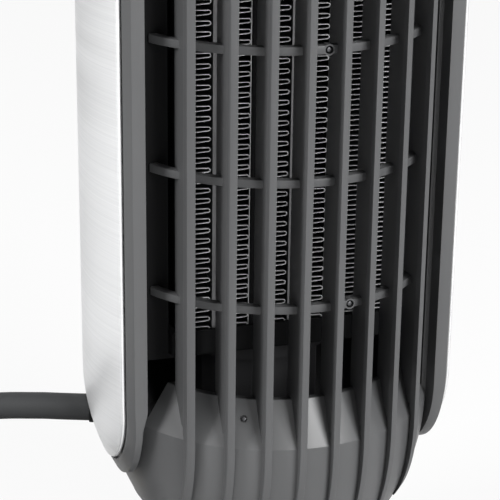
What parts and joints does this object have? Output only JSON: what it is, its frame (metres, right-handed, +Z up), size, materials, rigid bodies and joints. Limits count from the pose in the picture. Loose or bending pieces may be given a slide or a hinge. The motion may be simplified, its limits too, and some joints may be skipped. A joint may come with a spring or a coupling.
{
  "type": "tower fan heater with ceramic core",
  "caption": "Slim tower fan heater: ribbed front grille over a ceramic core, silver wrap skin, cross-flow fan inside, two knobs on top, round flared base and a coiled mains cord.",
  "frame": {"origin": "centre of the base on the floor, on the body's upright axis", "axes": "+Z up, front grille faces -Y, cord leaves towards -X"},
  "size_m": [0.3434, 0.1612, 0.4498],
  "materials": {
    "black_plastic": "fine satin texture",
    "dark_plastic": "matt",
    "silver_skin": "brushed round the body",
    "fin_aluminium": "bright rolled sheet",
    "steel": "plated",
    "rubber": "matt",
    "clear_red": "clear tinted",
    "brass": "bright"
  },
  "bodies": {
    "heater": {"base_cover": "black_plastic", "base_plate": "dark_plastic", "base_screw_1": "steel", "base_screw_2": "steel", "base_screw_3": "steel", "base_screw_4": "steel", "bowl_lower": "black_plastic", "bowl_upper": "black_plastic", "cord": "rubber", "cord_coil": "rubber", "cord_gland": "black_plastic", "cord_tail": "rubber", "cord_tie": "rubber", "core_frame": "dark_plastic", "core_holder_lower": "dark_plastic", "core_holder_upper": "dark_plastic", "fan_housing": "dark_plastic", "fan_motor": "dark_plastic", "fin_strip_1": "fin_aluminium", "fin_strip_2": "fin_aluminium", "fin_strip_3": "fin_aluminium", "fin_strip_4": "fin_aluminium", "fin_strip_5": "fin_aluminium", "fin_strip_6": "fin_aluminium", "foot_1": "rubber", "foot_2": "rubber", "foot_3": "rubber", "foot_4": "rubber", "front_grille": "black_plastic", "grille_screw_1": "steel", "grille_screw_2": "steel", "grille_screw_3": "steel", "grille_screw_4": "steel", "grille_screw_5": "steel", "heater_bar_1": "fin_aluminium", "heater_bar_2": "dark_plastic", "heater_bar_3": "fin_aluminium", "heater_bar_4": "dark_plastic", "heater_bar_5": "fin_aluminium", "inlet_grille": "black_plastic", "mode_switch": "dark_plastic", "neck_screw_1": "steel", "neck_screw_2": "steel", "neck_screw_3": "steel", "outer_skin": "silver_skin", "pilot_lens": "clear_red", "plug_body": "rubber", "plug_pin_1": "brass", "plug_pin_2": "brass", "rear_housing": "black_plastic", "thermal_cutout": "steel", "thermostat": "steel", "tilt_switch": "dark_plastic", "top_cap": "black_plastic", "upper_bearing": "rubber"},
    "fan": {"fan_wheel": "dark_plastic"},
    "mode_dial": {"mode_knob": "black_plastic"},
    "thermostat_dial": {"thermostat_knob": "black_plastic"}
  },
  "joints": [
    {"name": "fan_spin", "type": "hinge", "parent": "heater", "child": "fan", "pos_m": [0, 0.019, 0.2432], "axis": [0, 0, 1], "continuous": true},
    {"name": "mode_turn", "type": "hinge", "parent": "heater", "child": "mode_dial", "pos_m": [-0.019, 0.003, 0.44], "axis": [0, 0, -1], "range_deg": [0, 135]},
    {"name": "thermostat_turn", "type": "hinge", "parent": "heater", "child": "thermostat_dial", "pos_m": [0.019, 0.003, 0.44], "axis": [0, 0, -1], "range_deg": [0, 270]}
  ]
}
